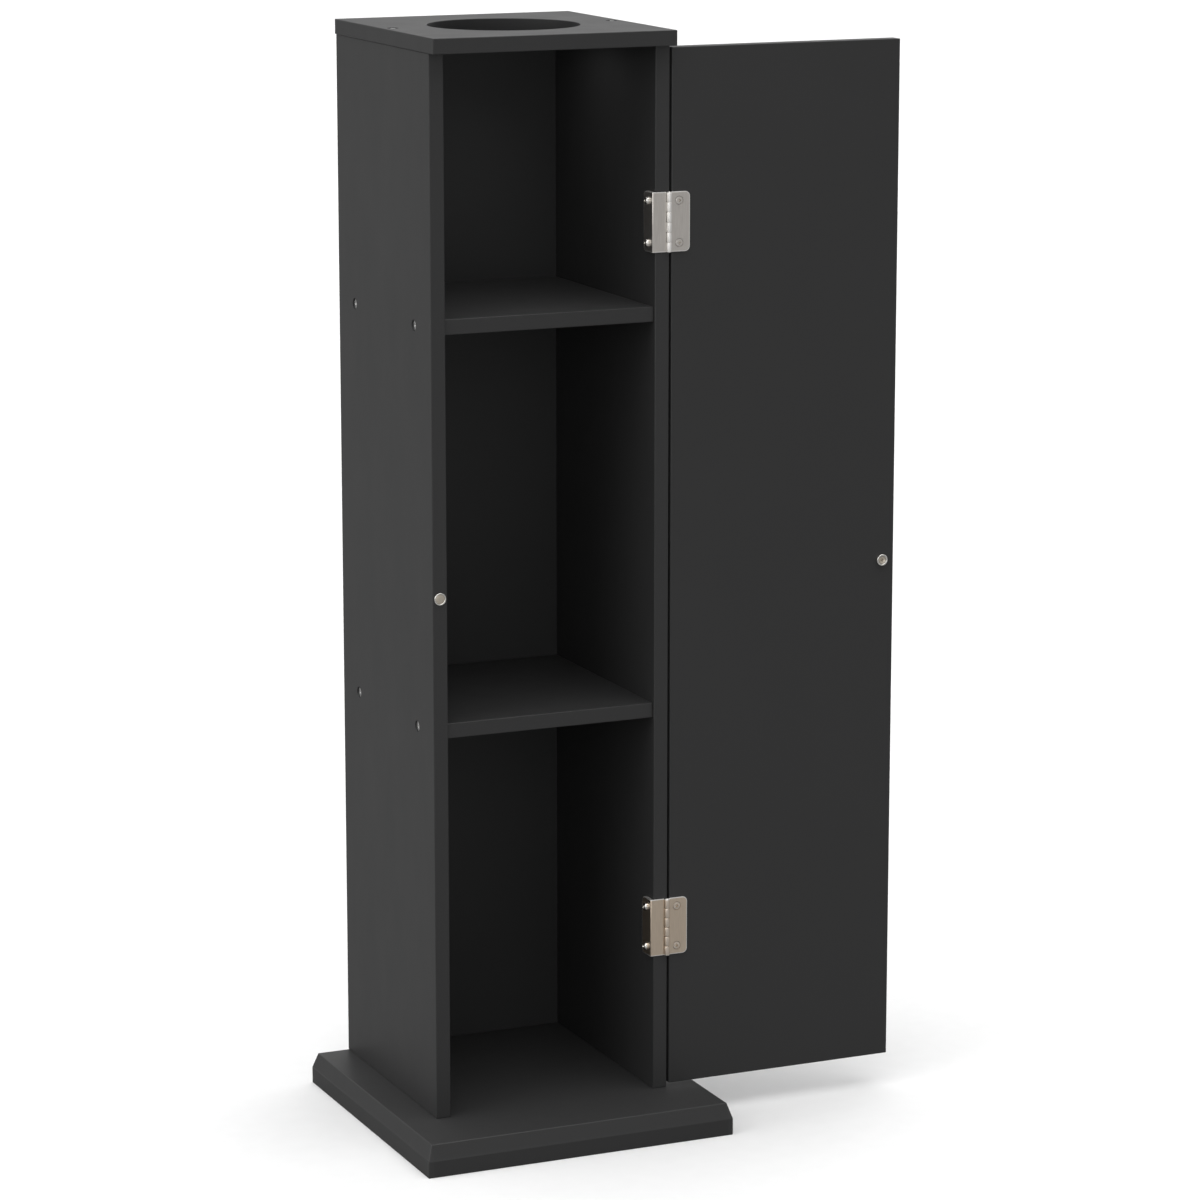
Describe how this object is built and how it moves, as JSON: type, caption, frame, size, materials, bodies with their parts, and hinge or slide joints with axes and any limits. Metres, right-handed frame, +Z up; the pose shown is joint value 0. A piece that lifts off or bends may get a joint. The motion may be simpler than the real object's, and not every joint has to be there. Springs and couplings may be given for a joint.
{
  "type": "bathroom floor cabinet",
  "caption": "Tall slim floor cabinet with a wide bevelled base, shelves behind one full-height hinged door, and a large round hole in the top board.",
  "frame": {"origin": "on the floor, under the middle of the square base plate", "axes": "+Z up, +X towards the hinged side seen from the front, -Y towards the front; the door is drawn swung fully open, flat in line with the front edges of the side boards"},
  "size_m": [0.431, 0.262, 0.878],
  "materials": {
    "board_paint": "matt charcoal paint on fibreboard",
    "panel_paint": "matt charcoal paint on thin hardboard",
    "hinge_nickel": "satin nickel plate",
    "screw_steel": "bright nickel plate",
    "catch_nickel": "bright nickel plate",
    "magnet_face": "satin nickel plate",
    "board_screw": "zinc plate",
    "dowel_beech": "plain beech"
  },
  "bodies": {
    "carcass": {"base_plate": "board_paint", "left_side_board": "board_paint", "right_side_board": "board_paint", "back_panel": "panel_paint", "top_board": "board_paint", "upper_shelf": "board_paint", "lower_shelf": "board_paint", "upper_frame_leaf": "hinge_nickel", "upper_hinge_pin": "screw_steel", "upper_frame_screws": "screw_steel", "lower_frame_leaf": "hinge_nickel", "lower_hinge_pin": "screw_steel", "lower_frame_screws": "screw_steel", "magnet_cup": "catch_nickel", "magnet_disc": "magnet_face", "left_shelf_screws": "board_screw", "right_shelf_screws": "board_screw", "top_screws": "board_screw", "base_screws": "board_screw", "top_dowels": "dowel_beech", "base_dowels": "dowel_beech", "back_nails": "screw_steel"},
    "door": {"door_board": "board_paint", "upper_door_leaf": "hinge_nickel", "upper_door_screws": "screw_steel", "lower_door_leaf": "hinge_nickel", "lower_door_screws": "screw_steel", "strike_disc": "catch_nickel", "strike_screw": "screw_steel"}
  },
  "joints": [
    {"name": "door_hinge", "type": "hinge", "parent": "carcass", "child": "door", "pos_m": [0.099, -0.0727, 0.445], "axis": [0, 0, 1], "range_deg": [-180, 7]}
  ]
}
